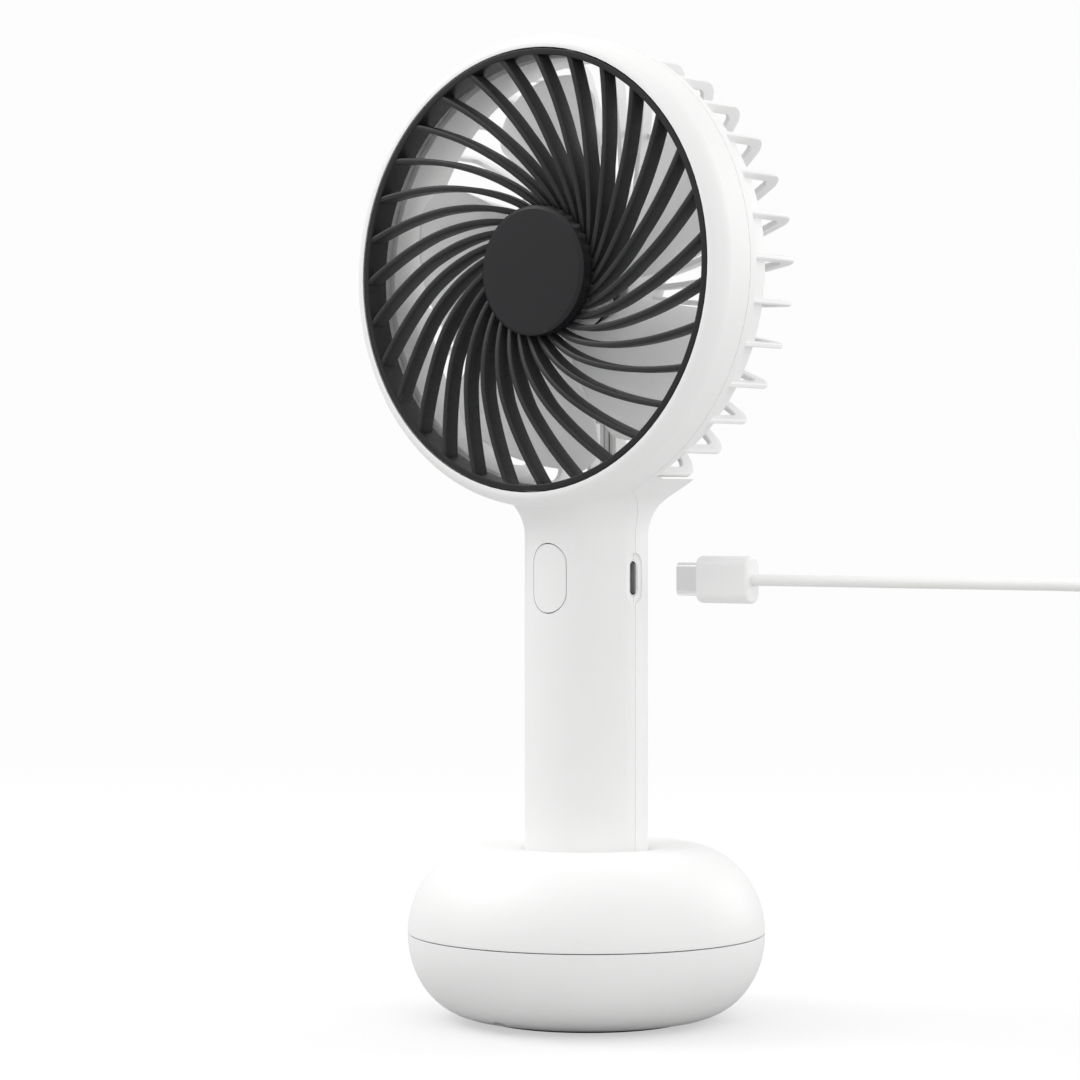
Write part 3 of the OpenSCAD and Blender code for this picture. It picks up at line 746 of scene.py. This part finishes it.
def blade_place(u, v, side):
    """A point on a blade: u from root to tip, v from front edge to back edge, side its face."""
    root = front_root if v < 0.3 else back_root
    radius = root + u * (blade_tip - root)
    narrow = 0 if u < 0.8 else 0.3 * ((u - 0.8) / 0.2) ** 2
    half = (blade_half - blade_taper * u) * (1 - narrow)
    turn = math.radians((2 * v - 1) * half + blade_sweep * u)
    thick = blade_thick * (1 - 0.45 * u) * (1 - (2 * v - 1) ** 6 * 0.6)
    pitched = (blade_front - blade_fall * v) * (1 - 0.12 * u)
    forward = pitched + blade_bow * math.sin(math.pi * v) + side * thick
    return round_axis(radius * math.cos(turn), radius * math.sin(turn), forward)


def blade_form(rows=28, columns=24):
    """A blade as two curved skins joined round their edge."""
    form = bmesh.new()
    skins = [[[form.verts.new(blade_place(i / rows, k / columns, side)) for k in range(columns + 1)]
              for i in range(rows + 1)] for side in (1, -1)]
    for skin in skins:
        for i in range(rows):
            for k in range(columns):
                form.faces.new((skin[i][k], skin[i][k + 1], skin[i + 1][k + 1], skin[i + 1][k]))
    border = [(0, k) for k in range(columns)] + [(i, columns) for i in range(rows)]
    border += [(rows, k) for k in range(columns, 0, -1)] + [(i, 0) for i in range(rows, 0, -1)]
    for (i, k), (j, m) in zip(border, border[1:] + border[:1]):
        form.faces.new((skins[0][i][k], skins[0][j][m], skins[1][j][m], skins[1][i][k]))
    return form


blade_set = copies_of(
    piece("blade", blade_form(), blade_grey), "blades", blades, head, (0, -blade_first, 0),
    (0, -360 / blades, 0), blade_grey)
impeller = piece("impeller_hub", lathe(rounded([
    (shaft_r, boss_back, 0.1), (boss_r, boss_back, 0.2), (boss_r, hub_web, 0.3), (hub_bore, hub_web, 0.5),
    (hub_bore, hub_back, 0.2), (hub_r, hub_back, 0.3), (hub_r, hub_front, 1.2), (0, hub_front, 0),
    (0, shaft_end, 0), (shaft_r, shaft_end, 0)]), on_head, 128), blade_grey)
combine(impeller, blade_set, "UNION")
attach(impeller, "impeller")
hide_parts("impeller")

# ---- Motor ----
# A small brushed motor: a drawn can with two ferrite magnets, a three-pole wound armature and a commutator on
# a steel shaft that turns in bronze bushes. A ring and three screws hold it in the rear cage's cup.
can_steel = finish(
    "drawn_can_steel", (0.62, 0.62, 0.64), 0.3, grain=(420, 0.00001), stretch=(1, 0.1, 1), mottle=0.05,
    metallic=1.0)
bronze = finish(
    "sintered_bronze", (0.6, 0.4, 0.18), 0.5, grain=(2600, 0.00006), mottle=0.12, metallic=1.0, wear_and_sheen=0.6,
    edge=(0.8, 0.6, 0.3))
ferrite = finish(
    "ferrite", (0.09, 0.09, 0.1), 0.6, grain=(1800, 0.00005), mottle=0.15, wear_and_sheen=0.5, edge=(0.3, 0.3, 0.3))
lamination = finish(
    "stacked_laminations", (0.42, 0.43, 0.45), 0.4, grain=(160, 0.00012), stretch=(0.05, 12, 0.05),
    mottle=0.1, metallic=1.0)
copper = finish(
    "enamelled_copper", (0.62, 0.28, 0.1), 0.25, grain=(260, 0.00015), stretch=(1, 1, 9), mottle=0.1,
    metallic=1.0, coat=0.6)
moulded_black = finish("moulded_black", (0.022, 0.022, 0.024), 0.5, grain=(1500, 0.00004), mottle=0.08)
coat_node(can_steel, "motor_can")
coat_node(bronze, "motor_bearings")
coat_node(ferrite, "motor_magnets")
coat_node(lamination, "motor_armature")
coat_node(copper, "motor_windings", "motor_commutator")
coat_node(moulded_black, "motor_end_cap", "motor_retainer")
coat_node(steel, "motor_shaft")
coat_node(screw_steel, "motor_screws")

# ---- Battery and wires ----
# One round cell in blue shrink wrap, spot-welded to steel tabs and wedged between foam pads. Two black wires
# take it to the board, and two white ones go up to the motor.
wrap_blue = finish(
    "blue_shrink_wrap", (0.06, 0.2, 0.5), 0.28, grain=(260, 0.00008), stretch=(1, 1, 0.25), mottle=0.06,
    coat=0.3)
foam = finish("grey_foam", (0.17, 0.17, 0.18), 0.95, grain=(1100, 0.0004), mottle=0.2)
wire_white = finish("white_wire", (0.82, 0.82, 0.8), 0.35, grain=(900, 0.00002), mottle=0.03)
wire_black = finish("black_wire", (0.02, 0.02, 0.02), 0.35, grain=(900, 0.00002), mottle=0.05)
coat_node(wrap_blue, "battery_cell")
coat_node(foam, "battery_pads")
coat_node(steel, "battery_tabs")
coat_node(wire_white, "motor_wires")
coat_node(wire_black, "battery_wires")

# ---- Circuit board and port ----
# A green board across the handle carries the charging chip, the press switch and the steel port, whose
# tongue the plug slides over.
solder_mask = finish(
    "green_solder_mask", (0.02, 0.13, 0.05), 0.3, grain=(420, 0.00005), stretch=(3, 1, 0.6), mottle=0.15,
    coat=0.3)
chip_black = finish("chip_black", (0.025, 0.025, 0.028), 0.45, grain=(2200, 0.00003), mottle=0.06)
coat_node(solder_mask, "circuit_board")
coat_node(chip_black, "board_components")
coat_node(moulded_black, "tact_switch")
port = softened("port_tube", ["usb_receptacle"], steel, 0.08, 60)
tongue_grey = finish("port_tongue_grey", (0.5, 0.5, 0.505), 0.45, grain=(700, 0.00002), stretch=(1, 6, 1))
port_tongue = softened("port_tongue", ["usb_tongue"], tongue_grey, 0.12)
for part, slot in {port: "steel", port_tongue: "black_plastic"}.items():
    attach(part, "fan")

# ---- Studio ----
# A pale seamless floor under an overcast dome of light, with a large soft lamp high on the left, a smaller
# one on the right, and one behind the head that lights its ribs and shines through the blades.
floor_r, floor_drop = 6, 0.0001
floor_glow, floor_bounce = 0.98, 0.58
fade_from, fade_to, fade_least = 0.12, 1.3, 0.52
dome_low, dome_high, dome_seen = 0.56, 1.1, 0.98
floor_form = bmesh.new()
bmesh.ops.create_circle(floor_form, cap_ends=True, radius=floor_r, segments=96)
paper = bpy.data.materials.new("seamless_paper")
paper.use_nodes = True
tree = paper.node_tree
tree.nodes.clear()
ray = add(tree, "ShaderNodeLightPath")
where = add(tree, "ShaderNodeTexCoord")
fibre = add(tree, "ShaderNodeTexNoise", {"Vector": where.outputs["Object"], "Scale": 400.0, "Detail": 3.0})
tint = add(tree, "ShaderNodeMapRange", {"Value": fibre.outputs["Fac"], "To Min": 0.86, "To Max": 0.9})
seen = add(tree, "ShaderNodeBsdfDiffuse", {"Color": tint.outputs[0]})
unseen = add(tree, "ShaderNodeBsdfDiffuse", {
    "Color": (floor_bounce, floor_bounce, floor_bounce, 1)})
glow = add(tree, "ShaderNodeEmission", {"Color": (1, 1, 1, 1), "Strength": floor_glow})
# Near the fan's foot the camera sees less glow and more lit paper, so the real shadow shows; the weaker glow
# there also darkens the floor round the foot as painted shade.
reach = add(tree, "ShaderNodeVectorMath", {0: where.outputs["Object"]}, operation="LENGTH")
fade = add(tree, "ShaderNodeMapRange", {
    "Value": reach.outputs["Value"], "From Min": fade_from, "From Max": fade_to, "To Min": fade_least,
    "To Max": 1.0})
lifted = add(tree, "ShaderNodeMixShader", {0: fade.outputs[0], 1: seen.outputs[0], 2: glow.outputs[0]})
either = add(tree, "ShaderNodeMixShader", {
    0: ray.outputs["Is Camera Ray"], 1: unseen.outputs[0], 2: lifted.outputs[0]})
add(tree, "ShaderNodeOutputMaterial", {"Surface": either.outputs[0]})
floor = piece("studio_floor", floor_form, paper)
floor.location.z = -floor_drop

world = bpy.data.worlds.new("studio")
bpy.context.scene.world = world
world.use_nodes = True
sky = world.node_tree
sky.nodes.clear()
facing = add(sky, "ShaderNodeTexCoord")
height = add(sky, "ShaderNodeSeparateXYZ", {0: facing.outputs["Generated"]})
dome = add(sky, "ShaderNodeMapRange", {
    "Value": height.outputs["Z"], "From Min": -0.1, "From Max": 1.0, "To Min": dome_low, "To Max": dome_high})
seen_ray = add(sky, "ShaderNodeLightPath")
strength = add(sky, "ShaderNodeMix", {
    0: seen_ray.outputs["Is Camera Ray"], 2: dome.outputs[0], 3: dome_seen})
lit = add(sky, "ShaderNodeBackground", {"Color": (1, 1, 1, 1), "Strength": strength.outputs[0]})
add(sky, "ShaderNodeOutputWorld", {"Surface": lit.outputs[0]})


def soft_lamp(name, place, size, watts):
    """A square soft box that faces the head."""
    lamp = bpy.data.lights.new(name, "AREA")
    lamp.size = size
    lamp.energy = watts
    made = linked(name, lamp)
    made.location = place
    made.rotation_euler = (head - Vector(place)).to_track_quat("-Z", "Y").to_euler()


soft_lamp("key_lamp", (-0.85, -0.5, 1.0), 0.8, 6.2)
soft_lamp("side_lamp", (1.0, -0.3, 0.35), 0.6, 1.5)
soft_lamp("back_lamp", (0.45, 0.95, 0.45), 0.6, 2.6)
bpy.context.scene.view_settings.view_transform = "Standard"
